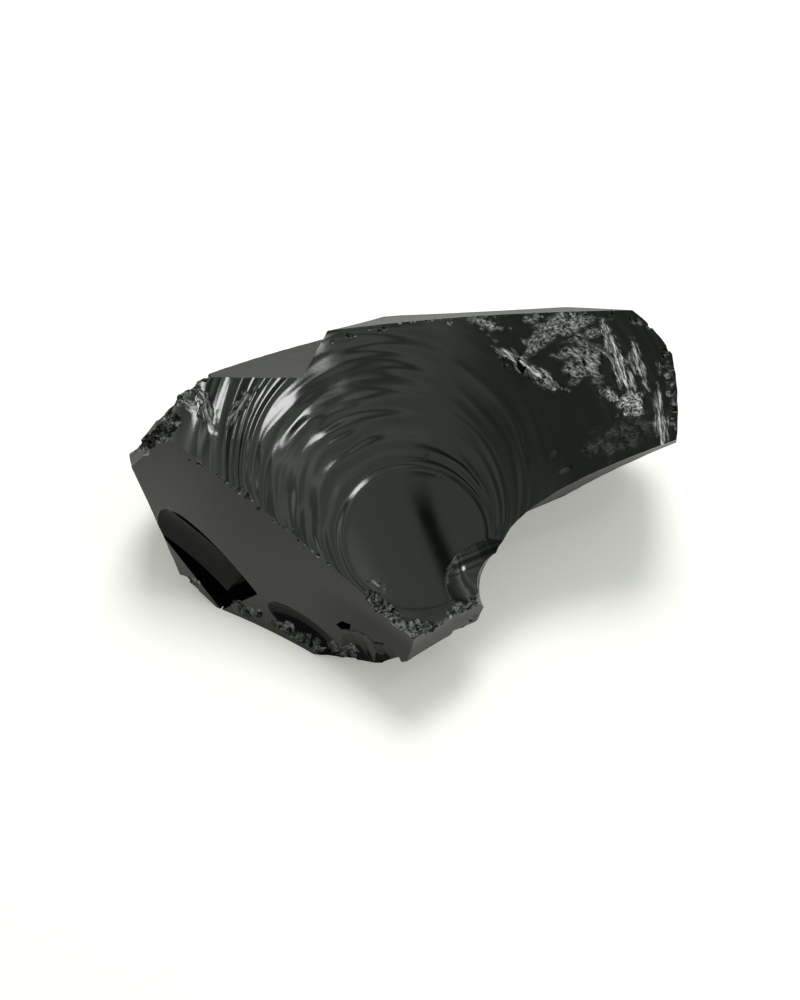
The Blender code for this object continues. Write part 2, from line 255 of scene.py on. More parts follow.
STEPS = {
    "eye_pit": dict(point=(5.2, -3.2, 21.5), facing=(290, 74), roll=15, size=(1.8, 1.1), depth=0.25),
    "eye_pit_beside": dict(point=(3.4, -0.2, 22.4), facing=(280, 68), roll=60, size=(1.3, 0.9), depth=0.2),
    "notch_pit": dict(point=(25.8, -3.4, 23.4), facing=(290, 70), roll=10, size=(2.4, 1.0), depth=0.3),
    "notch_pit_above": dict(point=(24.0, -0.6, 24), facing=(275, 66), roll=50, size=(1.8, 1.0), depth=0.3),
    "band_pit": dict(point=(-9.4, -23.9, 9.6), facing=(236, 20), roll=35, size=(2.6, 1.4), depth=0.5),
}


def bite_flake(point, facing, width, depth):
    """Ball that takes a round, shell-shaped bite out of the stone."""
    radius = ((width / 2) ** 2 + depth**2) / (2 * depth)
    deselect_all()
    bpy.ops.mesh.primitive_ico_sphere_add(subdivisions=BITE_FINENESS, radius=radius * MM)
    ball = bpy.context.object
    put_in_frame(ball, Matrix.Translation((Vector(point) + compass(facing) * (radius - depth)) * MM))
    return ball


def ripple_bite(ball):
    """Give a round bite fine rings, each of a height and spacing, around the struck point."""
    points = read_points(ball)
    out = points - points.mean(axis=0)
    reach = np.linalg.norm(points / MM - np.array(STRUCK_POINT) - np.array(LUMP_SHIFT) / MM, axis=1)
    wave = sum(height * np.sin(2 * math.pi * reach / spacing) for height, spacing in BITE_RINGS)
    write_points(ball, points + out / np.linalg.norm(out, axis=1)[:, None] * wave[:, None] * MM)


def chip_flake(point, facing, roll, size, depth, sides):
    """Flared block whose flat floor and sides cut one angular chip."""
    length, width = size
    height = CHIP_TALLNESS * length
    deselect_all()
    bpy.ops.mesh.primitive_cone_add(vertices=sides, radius1=CHIP_FLOOR, radius2=CHIP_MOUTH, depth=1)
    chip = bpy.context.object
    lift = Matrix.Translation((0, 0, (height / 2 - depth) * MM))
    own_size = Matrix.Diagonal((length * MM, width * MM, height * MM, 1))
    put_in_frame(chip, stand_on(point, facing, roll) @ lift @ own_size)
    return chip


for bite in BITES.values():
    ball = bite_flake(**bite)
    ripple_bite(ball)
    strike(ball)
for step in STEPS.values():
    strike(chip_flake(sides=STEP_SIDES, **step))

# ---- The crushed edges ----
# Where the stone was struck, held and knocked, its edges broke into rows of small bright
# chips. Each row follows a ridge, and its chips are dealt into passes, so that neighbours
# are struck off one after the other.

# Each row has its path, the way that its chips face, their number, and their least and
# greatest width.
EDGES = {
    "strike": dict(
        path=(
            (-6.4, -22.7, 18), (0, -28.6, 16.9), (5.5, -27.8, 15.8), (10.4, -24.2, 16), (13.4, -22, 15.4),
        ),
        facing=(300, 38), count=90, width=(0.5, 2.8),
    ),
    "strike_low": dict(
        path=((0, -29.2, 7), (6.7, -26.3, 9.4), (11.6, -24.6, 11), (14.2, -22, 13.6)),
        facing=(300, -10), count=36, width=(0.7, 3.0),
    ),
    "band_ridge": dict(
        path=((-40.4, -1.6, 30.4), (-27.9, -7.2, 25.7), (-18.4, -13.8, 21.8), (-9.6, -21.6, 18.8)),
        facing=(250, 55), count=110, width=(0.3, 1.0),
    ),
    "left_foot": dict(
        path=((-42.6, -4, 8), (-40, -8, 4.4), (-36.4, -12, 3.6), (-32, -16.4, 3.4)),
        facing=(225, -5), count=54, width=(0.6, 3.0),
    ),
    "front_foot": dict(
        path=(
            (-31, -14.4, 2.4), (-24.6, -18, 2.4), (-18.3, -21.7, 2.2), (-12.3, -24.7, 2.6), (-8, -27, 5),
        ),
        facing=(245, 10), count=64, width=(0.6, 3.0),
    ),
    "left_top": dict(
        path=((-40.8, -0.6, 31), (-37, 4.4, 31.6), (-31, 10, 30.6)),
        facing=(140, 60), count=56, width=(0.5, 2.4),
    ),
    "left_tip": dict(
        path=(
            (-43.6, 1.6, 21.6), (-41, 0.6, 24.4), (-38.4, 0.4, 27.4), (-36.6, 1, 30.4), (-38.4, 5, 28.8),
            (-42, 4.6, 24.6),
        ),
        facing=(200, 55), count=60, width=(0.6, 3.2),
    ),
    "back_ridge": dict(
        path=(
            (-12.6, 16.6, 30.3), (-0.8, 20.9, 30.4), (15.6, 22.1, 31.2), (33.4, 20.4, 33.5),
            (40.6, 17, 33.6),
        ),
        facing=(265, 70), count=70, width=(0.3, 1.6),
    ),
    "right_ridge": dict(
        path=((41.8, 13.4, 32.5), (42.6, 7.4, 30.3), (43, 0.6, 28)),
        facing=(330, 60), count=30, width=(0.4, 1.5),
    ),
}
EDGE_SEED = 7
EDGE_SCATTER = 0.6
EDGE_TURN = 32.0
CHIP_SIDES = (5, 6, 7)
CHIP_NARROWNESS = (0.6, 1.0)
CHIP_DEPTH_SHARE = (0.10, 0.20)
CHIP_SPACING = 2.2

# Above 1, more of the chips are small.
SMALL_CHIP_POWER = 1.6


def stretches(path):
    """Start, end and length of each straight stretch of a path."""
    corners = [Vector(corner) for corner in path]
    return [(start, end, (end - start).length) for start, end in zip(corners, corners[1:])]


def point_on_path(path, distance):
    """Place on a path at a distance from its start."""
    for start, end, length in stretches(path):
        if distance <= length:
            return start.lerp(end, distance / length)
        distance -= length
    return Vector(path[-1])


def join(items):
    """Make one object of several."""
    deselect_all()
    for item in items:
        item.select_set(True)
    bpy.context.view_layer.objects.active = items[0]
    bpy.ops.object.join()
    return items[0]


def crush_edge(path, facing, count, width):
    """Strike a row of chips off one edge, one pass after another."""
    path_length = sum(length for _, _, length in stretches(path))
    passes = math.ceil(count * width[1] * CHIP_SPACING / path_length)
    dealt = [[] for _ in range(passes)]
    for number in range(count):
        distance = path_length * (number + chance.random() / 2) / count
        shift = Vector([chance.uniform(-EDGE_SCATTER, EDGE_SCATTER) for _ in range(3)])
        way = [angle + chance.uniform(-EDGE_TURN, EDGE_TURN) for angle in facing]
        across = width[0] + (width[1] - width[0]) * chance.random() ** SMALL_CHIP_POWER
        size = (across, across * chance.uniform(*CHIP_NARROWNESS))
        depth = across * chance.uniform(*CHIP_DEPTH_SHARE)
        place = point_on_path(path, distance) + shift
        roll = chance.uniform(0, 180)
        chip = chip_flake(place, way, roll, size, depth, chance.choice(CHIP_SIDES))
        dealt[number % passes].append(chip)
    for chips in dealt:
        row = join(chips)
        mark_finish(row, "crushed")
        strike(row)


chance = random.Random(EDGE_SEED)
for edge in EDGES.values():
    crush_edge(**edge)

# ---- The rippled top ----
# The last and largest flake left a dished face, with a smooth eye next to where the blow
# fell and ripples spreading from it like rings on water. The middles of the rings drift
# away from the blow, so they crowd together beside it and fan out to the left and the back.
TOP_LOW_POINT = (1.6, -14.0, 18.6)
TOP_SLOPE = (-0.03, 0.20)
TOP_BOW = (0.69, 0.52)
TOP_FOLD = (20.0, 24.0)
TOP_TROUGH_MIDDLE = (3.0, -14.0)

# Middles of the rings of six radii; the middles of the rings between lie between them.
RING_RADIUS = (0.0, 11.4, 19.3, 23.5, 35.0, 90.0)
RING_MIDDLE_X = (1.6, 1.6, -2.7, -2.6, 5.3, 5.3)
RING_MIDDLE_Y = (-14.0, -14.0, -8.4, -4.6, -3.3, -3.3)

# The floor of the flake has a point on every spoke of every ring.
EYE_RADIUS = 11.4
EYE_RINGS = 24
RING_STEP = 0.2
RING_COUNT = 300
SPOKES = 720
OUTER_REACH = 24.0

# The ripples rise at the edge of the eye. They drift, swell and fade in arcs, and are faintest
# toward FAINT_SIDE, where they fade once more further out.
RIPPLE_START = 3.0
RIPPLE_SPACING = 2.1
RIPPLE_HEIGHT = 0.022
RIPPLE_SKEW = 0.3
SKEW_SHIFT = 0.9
DRIFT_REACH = 0.6
DRIFT = dict(turns=1.6, twist=0.09, seed=1.7)
ARC_MEAN = 0.6
ARC_SWING = 1.5
ARC_MOST = 1.4
ARCS = dict(turns=2.6, twist=0.35, seed=5.2)
FAINT_SIDE = math.radians(-35)
FAINT_SHARE = 0.4
FAINT_CURVE = 1.5
FAR_FADE = 0.65
FAR_FADE_START = 22.0
FAR_FADE_REACH = 4.0

# Finer grain runs along with them, and far out on the left they grow into a few great waves.
GRAIN = (
    dict(height=0.055, spacing=0.95, turns=(1.4, 2.1), seed=7.7),
    dict(height=0.018, spacing=0.45, turns=(2.0, 3.1), seed=2.9),
)
GREAT_HEIGHT = 0.13
GREAT_SPACING = 6.4
GREAT_SHIFT = 0.6
GREAT_START = 23.0
GREAT_RISE = 6.0
GREAT_HIDES = 0.7

# Rings of the eye's raised rim: height, distance outside the eye, and width.
RIM = ((0.075, 0.9, 0.42), (-0.035, 0.2, 0.24), (0.03, 2.1, 0.6))

# Broad, uneven swelling of the face outside the eye.
SWELL_HEIGHT = 0.10
SWELL_SIZE = 9.0
SWELL_SEED = 3.3
SWELL_START = 5.0


def top_height(x, y):
    """Height of the smooth top scar over the base."""
    low_x, low_y, low_z = TOP_LOW_POINT
    plane = low_z + TOP_SLOPE[0] * (x - low_x) + TOP_SLOPE[1] * (y - low_y)
    back = trough(x - TOP_TROUGH_MIDDLE[0], TOP_BOW[0], TOP_FOLD[0])
    return plane + back + trough(y - TOP_TROUGH_MIDDLE[1], TOP_BOW[1], TOP_FOLD[1])


def wander(first, second, seed):
    """Smooth random values from -1 to 1 over two coordinates."""
    return np.array([noise.noise(Vector((a, b, seed))) for a, b in zip(first, second)])


def hump(value, middle, width):
    """1 at the middle, falling smoothly to nearly 0 at twice the width away."""
    return np.exp(-(((value - middle) / width) ** 2))


def fade_in(value, start, reach):
    """0 up to start, rising evenly to 1 over a reach."""
    return np.clip((value - start) / reach, 0, 1)


# Patches of small tilted plates, where the flake tore away instead of splitting cleanly. Each
# has its middle, its reach along and across, how far it is turned, the size of its plates, how
# strongly they lean the way that the flake pulled, and how white the glass is painted there,
# partly as a real bruise and partly as a painted glint.
PATCHES = (
    dict(middle=(18.4, 14.4), reach=(6.4, 1.0), turn=-36, plate=(9.0, 1.2), lean=0.8, bruise_and_glint=0.8),
    dict(middle=(26.4, 19.8), reach=(5.4, 2.6), turn=-8, plate=(1.8, 1.0), lean=0.7, bruise_and_glint=0.45),
    dict(middle=(22.0, 17.6), reach=(2.4, 1.6), turn=30, plate=(1.6, 1.0), lean=0.7, bruise_and_glint=0.35),
    dict(middle=(28.8, 13.7), reach=(3.8, 2.8), turn=-25, plate=(3.6, 1.2), lean=0.7, bruise_and_glint=0.45),
    dict(middle=(34.4, 13.2), reach=(5.4, 1.2), turn=-72, plate=(6.0, 0.9), lean=0.8, bruise_and_glint=1.0),
    dict(middle=(37.8, 11.6), reach=(4.0, 0.8), turn=-72, plate=(5.0, 0.9), lean=0.75, bruise_and_glint=0.7),
    dict(middle=(33.4, 7.6), reach=(1.7, 0.7), turn=-40, plate=(2.0, 0.9), lean=0.75, bruise_and_glint=0.8),
    dict(middle=(36.6, 5.8), reach=(2.0, 1.5), turn=10, plate=(2.0, 1.2), lean=0.75, bruise_and_glint=0.9),
    dict(middle=(41.0, 3.4), reach=(5.6, 0.8), turn=-86, plate=(6.0, 0.8), lean=0.75, bruise_and_glint=0.8),
    dict(middle=(34.6, 1.2), reach=(4.6, 2.6), turn=6, plate=(3.2, 1.6), lean=0.25, bruise_and_glint=0.04),
    dict(middle=(13.4, 20.6), reach=(3.2, 0.6), turn=-22, plate=(1.6, 0.9), lean=0.6, bruise_and_glint=0.5),
    dict(middle=(-31.8, 3.8), reach=(3.0, 1.2), turn=-67, plate=(6.0, 1.2), lean=0.95, bruise_and_glint=0.35),
    dict(middle=(-26.8, 4.8), reach=(3.0, 0.8), turn=61, plate=(6.0, 0.9), lean=0.95, bruise_and_glint=0.35),
    dict(middle=(-35.0, 4.4), reach=(2.4, 1.1), turn=-27, plate=(2.4, 1.0), lean=0.9, bruise_and_glint=0.4),
    dict(middle=(-4.2, -21.6), reach=(2.4, 0.2), turn=-28, plate=(1.8, 0.5), lean=0.1, bruise_and_glint=0.4),
)


# The edge of a patch is ragged in small, in middling and in large.
RAGGED = (dict(strength=0.35, size=(0.9, 0.7), seed=4.4), dict(strength=0.25, size=(3.0, 2.0), seed=8.1))
RAGGED_SHAPE = 0.9
RAGGED_SHAPE_SEED = 5.5
PATCH_LIMIT = 2.0
PATCH_EDGE = 1.1
PATCH_EDGE_SHARPNESS = 2.2

# The rows of plates waver and are set off against each other. The plates lean by PULL, which
# turns a little from left to right, and each leans a little more its own way.
PLATE_WAVER = 0.5
WAVER_REACH = 1.3
WAVER_KINK = 0.8
KINK_REACH = 0.6
ROW_SHIFT = 0.5
ROW_SCATTER = 0.3
ROW_SCATTER_RATE = 5.0
PULL = (-0.212, 0.368)
PULL_TURN = 0.0018
SLOPE_STEP = 0.5
PLATE_SCATTER = 0.07
SCATTER_X = (12.99, 78.23, 437.5)
SCATTER_Y = (39.35, 11.14, 521.3)


def patch_frame(x, y, patch):
    """Places along and across a patch, and how far inside its ragged edge each one is, 0 to 1."""
    turned = math.radians(patch["turn"])
    middle_x, middle_y = patch["middle"]
    length, width = patch["reach"]
    along = (x - middle_x) * math.cos(turned) + (y - middle_y) * math.sin(turned)
    across = (y - middle_y) * math.cos(turned) - (x - middle_x) * math.sin(turned)
    out = np.hypot(along / length, across / width)
    near = out < PATCH_LIMIT
    edge = np.zeros(np.count_nonzero(near))
    for ragged in RAGGED:
        size = ragged["size"]
        edge += ragged["strength"] * wander(along[near] / size[0], across[near] / size[1], ragged["seed"])
    shape = wander(2 * along[near] / length + middle_x, 2 * across[near] / width, RAGGED_SHAPE_SEED)
    edge += RAGGED_SHAPE * shape
    mask = np.zeros(len(x))
    mask[near] = np.clip(PATCH_EDGE_SHARPNESS * (PATCH_EDGE + edge - out[near]), 0, 1)
    return along, across, mask


def plate_scatter(row, column, mixing):
    """Settled random values from -1 to 1, one for each plate."""
    mixed = np.sin(mixing[0] * row + mixing[1] * column) * mixing[2]
    return 2 * (mixed - np.floor(mixed)) - 1


def plate_height(x, y, patch):
    """Height of one patch of tilted plates."""
    along, across, mask = patch_frame(x, y, patch)
    plate_length, plate_width = patch["plate"]
    waver = np.sin(along / WAVER_REACH + WAVER_KINK * np.sin(along / KINK_REACH))
    across = across + PLATE_WAVER * plate_width * waver
    row = np.floor(across / plate_width)
    along = along + plate_length * (ROW_SHIFT * row + ROW_SCATTER * np.sin(ROW_SCATTER_RATE * row))
    column = np.floor(along / plate_length)
    off_along = along - (column + 0.5) * plate_length
    off_across = across - (row + 0.5) * plate_width
    turned = math.radians(patch["turn"])
    off_x = off_along * math.cos(turned) - off_across * math.sin(turned)
    off_y = off_along * math.sin(turned) + off_across * math.cos(turned)
    middle_x, middle_y = patch["middle"]
    here = top_height(middle_x, middle_y)
    slope_x = (top_height(middle_x + SLOPE_STEP, middle_y) - here) / SLOPE_STEP
    slope_y = (top_height(middle_x, middle_y + SLOPE_STEP) - here) / SLOPE_STEP
    lean_x = patch["lean"] * (PULL[0] + PULL_TURN * middle_x - slope_x)
    lean_y = patch["lean"] * (PULL[1] - slope_y)
    lean_x = lean_x + PLATE_SCATTER * plate_scatter(row, column, SCATTER_X)
    lean_y = lean_y + PLATE_SCATTER * plate_scatter(row, column, SCATTER_Y)
    return mask * (lean_x * off_x + lean_y * off_y)


def wander_round(radius, angle, turns, twist, seed):
    """Smooth random values from -1 to 1 round the eye and out from it."""
    return wander(turns * np.cos(angle) + twist * radius, turns * np.sin(angle), seed)


def grain_height(radius, angle, height, spacing, turns, seed):
    """Height of one layer of the fine grain that runs along with the ripples."""
    return height * wander(radius / spacing, turns[0] * np.cos(angle) + turns[1] * np.sin(angle), seed)


def ripple_height(radius, angle, x, y):
    """How far the ripples stand off the smooth top scar."""
    left = 0.5 - 0.5 * np.cos(angle - FAINT_SIDE)
    drift = DRIFT_REACH * wander_round(radius, angle, **DRIFT)
    wave = (radius + drift) / RIPPLE_SPACING
    arcs = np.clip(ARC_MEAN + ARC_SWING * wander_round(radius, angle, **ARCS), 0, ARC_MOST)
    strength = FAINT_SHARE + (1 - FAINT_SHARE) * left**FAINT_CURVE
    strength *= fade_in(radius, EYE_RADIUS, RIPPLE_START)
    strength *= 1 - FAR_FADE * fade_in(radius, FAR_FADE_START, FAR_FADE_REACH) * (1 - left) ** 0.5
    main = np.sin(2 * math.pi * wave) + RIPPLE_SKEW * np.sin(4 * math.pi * wave + SKEW_SHIFT)
    main = RIPPLE_HEIGHT * arcs * main
    grain = sum(grain_height(radius, angle, **layer) for layer in GRAIN)
    far_left = fade_in(radius, GREAT_START, GREAT_RISE) * left**3
    great = np.sin(2 * math.pi * (radius + 2 * drift) / GREAT_SPACING + GREAT_SHIFT)
    great = GREAT_HEIGHT * great * far_left
    rim = sum(height * hump(radius, EYE_RADIUS + outside, width) for height, outside, width in RIM)
    swell = SWELL_HEIGHT * wander(x / SWELL_SIZE, y / SWELL_SIZE, SWELL_SEED)
    swell = swell * fade_in(radius, EYE_RADIUS, SWELL_START)
    plates = sum(plate_height(x, y, patch) for patch in PATCHES)
    return strength * (main + grain) * (1 - GREAT_HIDES * far_left) + great + rim + swell + plates


deselect_all()
bpy.ops.mesh.primitive_grid_add(x_subdivisions=SPOKES, y_subdivisions=EYE_RINGS + RING_COUNT, size=2)
top_flake = bpy.context.object
ring_radii = [EYE_RADIUS * step / EYE_RINGS for step in range(EYE_RINGS)]
ring_radii += [EYE_RADIUS + RING_STEP * step for step in range(RING_COUNT)]
ring_radii += [ring_radii[-1] + OUTER_REACH]
points = read_points(top_flake)
angle = math.pi * (points[:, 0] + 1)
ring = np.rint((points[:, 1] + 1) / 2 * (EYE_RINGS + RING_COUNT)).astype(int)
radius = np.array(ring_radii)[ring]
points[:, 0] = np.interp(radius, RING_RADIUS, RING_MIDDLE_X) + radius * np.cos(angle)
points[:, 1] = np.interp(radius, RING_RADIUS, RING_MIDDLE_Y) + radius * np.sin(angle)
points[:, 2] = top_height(points[:, 0], points[:, 1])
points[:, 2] += ripple_height(radius, angle, points[:, 0], points[:, 1])
write_points(top_flake, points * MM)
close_above(top_flake, 2 * CUTTER_HEIGHT)
put_in_frame(top_flake, Matrix())
strike(top_flake)

# ---- The glass surface ----
# Volcanic glass is black all through and shines like a bottle where it is freshly broken. It
# is bruised white where it tore or was crushed, partly as a painted glint, some scars are finely
# frosted, and the two narrow hollows are painted blackest and less glossy, as painted shade.
SMOOTH_BELOW = math.radians(32)
LEAST_UPWARD = 0.4
# Bruised glass is whitish, and this white also stands in as painted glints on the torn plates and the
# crushed edge chips.
LOWEST_BRUISE_AND_GLINT = 17.0
CRUSHED_BRUISE_AND_GLINT = 0.3
BRUISE_AND_GLINT_FROST = 0.4

# The white bruises, partly painted glints, are streaks along long plates and specks on short ones.
LONG_PLATE = 2.5
STREAK_FINENESS = 2.4
SPECK_FINENESS = 2.8
PLAIN_FINENESS = 1.6

deselect_all()
stone.select_set(True)
bpy.context.view_layer.objects.active = stone
bpy.ops.object.shade_smooth_by_angle(angle=SMOOTH_BELOW)


def from_lump(points):
    """Places measured from where the lump lay, in millimetres."""
    return points / MM - np.array(LUMP_SHIFT) / MM


kinds = np.zeros(len(stone.data.polygons), dtype=np.int32)
stone.data.polygons.foreach_get("material_index", kinds)
is_fresh, is_frosted, is_crushed, is_hollow_shade = (kinds == kind for kind in range(len(FINISHES)))
centres = np.empty(len(kinds) * 3)
stone.data.polygons.foreach_get("center", centres)
centres = from_lump(centres.reshape(-1, 3))
normals = np.empty(len(kinds) * 3)
stone.data.polygons.foreach_get("normal", normals)
is_upward = normals.reshape(-1, 3)[:, 2] > LEAST_UPWARD
# How white each face is painted, partly as a real bruise and partly as a painted glint.
bruise_and_glint_level = np.zeros(len(kinds))
for patch in PATCHES:
    mask = patch_frame(centres[:, 0], centres[:, 1], patch)[2]
    bruise_and_glint_level = np.maximum(bruise_and_glint_level, mask * patch["bruise_and_glint"])
bruise_and_glint_level = np.where(is_fresh & is_upward & (centres[:, 2] > LOWEST_BRUISE_AND_GLINT), bruise_and_glint_level, 0)
bruise_and_glint_level = np.where(is_crushed, CRUSHED_BRUISE_AND_GLINT, bruise_and_glint_level)
marks = {
    "frost": np.where(is_frosted, 1.0, BRUISE_AND_GLINT_FROST * bruise_and_glint_level),
    "bruise_and_glint": bruise_and_glint_level,
    "hollow_shade": is_hollow_shade.astype(float),
}
for name, values in marks.items():
    mark = stone.data.attributes.new(name, "FLOAT", "FACE")
    mark.data.foreach_set("value", values)

places = from_lump(read_points(stone))
drawn = places * PLAIN_FINENESS
torn = np.zeros(len(places))
for patch in PATCHES:
    along, across, mask = patch_frame(places[:, 0], places[:, 1], patch)
    here = mask > torn
    stretch = patch["plate"][0] / patch["plate"][1]
    fineness = STREAK_FINENESS if stretch > LONG_PLATE else SPECK_FINENESS
    drawn[here] = np.column_stack((along / stretch, across, 0 * along))[here] * fineness
    torn = np.maximum(torn, mask)
drawn_mark = stone.data.attributes.new("drawn", "FLOAT_VECTOR", "POINT")
drawn_mark.data.foreach_set("vector", drawn.ravel())

FRESH_COLOURS = ((0.0012, 0.0018, 0.0018, 1), (0.0036, 0.0038, 0.0032, 1))
FROST_COLOURS = ((0.008, 0.009, 0.008, 1), (0.026, 0.028, 0.025, 1))
# Painted shade: the two narrow front hollows get a near-black colour and a low gloss.
HOLLOW_SHADE_COLOUR = (0.001, 0.001, 0.001, 1)
# Near-white of bruised glass, partly a painted glint.
BRUISE_AND_GLINT_COLOUR = (0.80, 0.83, 0.80, 1)
FRESH_ROUGHNESS = (0.04, 0.13)
FROST_ROUGHNESS = 0.5
BRUISE_AND_GLINT_ROUGHNESS = 0.35
GLASS_IOR = 1.5
GLOSS = 0.5
FRONT_SHADE_GLOSS = 0.3
HOLLOW_SHADE_GLOSS = 0.16

# Each cloud has its fineness and its detail.
FRESH_CLOUD = (90, 3)
FROST_CLOUD = (400, 4)
SHINE_CLOUD = (260, 3)
GRAIN_CLOUD = (2600, 2)
GRAIN_DEPTH = 0.02 * MM
GRAIN_STRENGTH = (0.05, 0.8)
STREAK_DETAIL = 6
STREAK_ROUGHNESS = 0.7
STREAK_EDGE = (0.43, 0.62)

# A painted sheen lightens the band toward the left tip, where it mirrors the lit table, and painted
# shade lowers the gloss of the low front edge. Both are set by place in the frame, in metres.
PAINTED_SHEEN_COLOUR = (0.058, 0.058, 0.050, 1)
SHEEN_LEFTWARD = (-0.024, -0.044)
SHEEN_FORWARD = (0.004, -0.006)
FRONT_SHADE_FORWARD = (-0.016, -0.026)
FRONT_SHADE_DOWNWARD = (0.0165, 0.0135)

glass = bpy.data.materials.new("black_glass")
glass.use_nodes = True
nodes = glass.node_tree.nodes
links = glass.node_tree.links
shader = nodes["Principled BSDF"]
shader.inputs["IOR"].default_value = GLASS_IOR
where = nodes.new("ShaderNodeTexCoord")
axes = nodes.new("ShaderNodeSeparateXYZ")
links.new(where.outputs["Object"], axes.inputs[0])


def cloud(fineness, detail):
    """Soft noise over the stone, from 0 to 1."""
    noise_node = nodes.new("ShaderNodeTexNoise")
    noise_node.inputs["Scale"].default_value = fineness
    noise_node.inputs["Detail"].default_value = detail
    links.new(where.outputs["Object"], noise_node.inputs["Vector"])
    return noise_node.outputs["Fac"]


# The mix node's own numbers for its first input, its second input and its output.
MIX_SOCKETS = {"FLOAT": (2, 3, 0), "RGBA": (6, 7, 2)}


def blend(factor, low, high, kind="FLOAT"):
    """Mix of two values or colours by a factor."""
    mix = nodes.new("ShaderNodeMix")
    mix.data_type = kind
    first, second, result = MIX_SOCKETS[kind]
    links.new(factor, mix.inputs[0])
    for socket, value in ((mix.inputs[first], low), (mix.inputs[second], high)):
        if isinstance(value, bpy.types.NodeSocket):
            links.new(value, socket)
        else:
            socket.default_value = value
    return mix.outputs[result]


def face_mark(name):
    """Value that each face of the stone was given under a name."""
    node = nodes.new("ShaderNodeAttribute")
    node.attribute_name = name
    return node.outputs["Fac"]


def clipped(source, start, end):
    """0 before start, 1 past end, and smooth between."""
    node = nodes.new("ShaderNodeMapRange")
    node.interpolation_type = "SMOOTHSTEP"
    node.inputs["From Min"].default_value = start
    node.inputs["From Max"].default_value = end
    links.new(source, node.inputs["Value"])
    return node.outputs["Result"]


def reckon(operation, *values):
    """Result of one sum on values or sockets."""
    node = nodes.new("ShaderNodeMath")
    node.operation = operation
    for socket, value in zip(node.inputs, values):
        if isinstance(value, bpy.types.NodeSocket):
            links.new(value, socket)
        else:
            socket.default_value = value
    return node.outputs[0]


frosted = face_mark("frost")
hollow_shade = face_mark("hollow_shade")
drawn_place = nodes.new("ShaderNodeAttribute")
drawn_place.attribute_name = "drawn"
streaks = nodes.new("ShaderNodeTexNoise")
streaks.inputs["Scale"].default_value = 1.0
streaks.inputs["Detail"].default_value = STREAK_DETAIL
streaks.inputs["Roughness"].default_value = STREAK_ROUGHNESS
links.new(drawn_place.outputs["Vector"], streaks.inputs["Vector"])
# White bruise streaks and specks, partly painted glints.
bruise_and_glint_speckle = reckon("MULTIPLY", clipped(streaks.outputs["Fac"], *STREAK_EDGE), face_mark("bruise_and_glint"))
# Painted sheen: the band's upper left, where it mirrors the lit table, is painted lighter.
painted_sheen = clipped(axes.outputs["X"], *SHEEN_LEFTWARD)
painted_sheen = reckon("MULTIPLY", painted_sheen, clipped(axes.outputs["Y"], *SHEEN_FORWARD))
# Painted shade: the gloss of the low front edge is lowered, where the table before it lies in shadow.
front_shade = clipped(axes.outputs["Y"], *FRONT_SHADE_FORWARD)
front_shade = reckon("MULTIPLY", front_shade, clipped(axes.outputs["Z"], *FRONT_SHADE_DOWNWARD))

fresh_colour = blend(cloud(*FRESH_CLOUD), *FRESH_COLOURS, "RGBA")
frost_colour = blend(cloud(*FROST_CLOUD), *FROST_COLOURS, "RGBA")
colour = blend(frosted, fresh_colour, frost_colour, "RGBA")
# Painted sheen lightens the band toward the left tip.
colour = blend(painted_sheen, colour, PAINTED_SHEEN_COLOUR, "RGBA")
# Painted shade blackens the two narrow front hollows.
colour = blend(hollow_shade, colour, HOLLOW_SHADE_COLOUR, "RGBA")
# The near-white bruises, partly painted glints, go over all.
colour = blend(bruise_and_glint_speckle, colour, BRUISE_AND_GLINT_COLOUR, "RGBA")
links.new(colour, shader.inputs["Base Color"])
# Painted shade lowers the gloss of the low front edge and of the two narrow hollows.
gloss = blend(hollow_shade, blend(front_shade, GLOSS, FRONT_SHADE_GLOSS), HOLLOW_SHADE_GLOSS)
links.new(gloss, shader.inputs["Specular IOR Level"])
roughness = blend(frosted, blend(cloud(*SHINE_CLOUD), *FRESH_ROUGHNESS), FROST_ROUGHNESS)
roughness = blend(bruise_and_glint_speckle, roughness, BRUISE_AND_GLINT_ROUGHNESS)
links.new(roughness, shader.inputs["Roughness"])
grain = nodes.new("ShaderNodeBump")
grain.inputs["Distance"].default_value = GRAIN_DEPTH
links.new(blend(frosted, *GRAIN_STRENGTH), grain.inputs["Strength"])
links.new(cloud(*GRAIN_CLOUD), grain.inputs["Height"])
links.new(grain.outputs["Normal"], shader.inputs["Normal"])
stone.data.materials.clear()
stone.data.materials.append(glass)

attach(stone, "root")
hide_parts("obsidian_chunk")

# ---- The table ----
# A plain white table top, so large that its edges are out of sight. The stone lies loose on
# it. It glows a little by itself, as a white sheet in a bright room seems to.
TABLE_SIZE = 6.0
TABLE_COLOUR = (0.86, 0.85, 0.82, 1)
TABLE_ROUGHNESS = 0.6
TABLE_GLOW_COLOUR = (1.0, 0.98, 0.92, 1)
TABLE_GLOW = 0.31

deselect_all()
bpy.ops.mesh.primitive_plane_add(size=TABLE_SIZE)
table = bpy.context.object
table.name = "table"
paint = bpy.data.materials.new("table_white")
paint.use_nodes = True
shader = paint.node_tree.nodes["Principled BSDF"]
shader.inputs["Base Color"].default_value = TABLE_COLOUR
shader.inputs["Roughness"].default_value = TABLE_ROUGHNESS
shader.inputs["Emission Color"].default_value = TABLE_GLOW_COLOUR
shader.inputs["Emission Strength"].default_value = TABLE_GLOW
table.data.materials.append(paint)

# ---- The ceiling ----
# A glowing ceiling, brighter in some places than in others, as a room's is. Its glow is set
# along the room and across it, and a dark gap over the stone leaves the streak in the eye.
ROOM_TURN = math.radians(26)
CEILING_HEIGHT = 1.3
CEILING_SIZE = 2.8
CEILING_TINT = (0.87, 1.0, 0.85, 1)

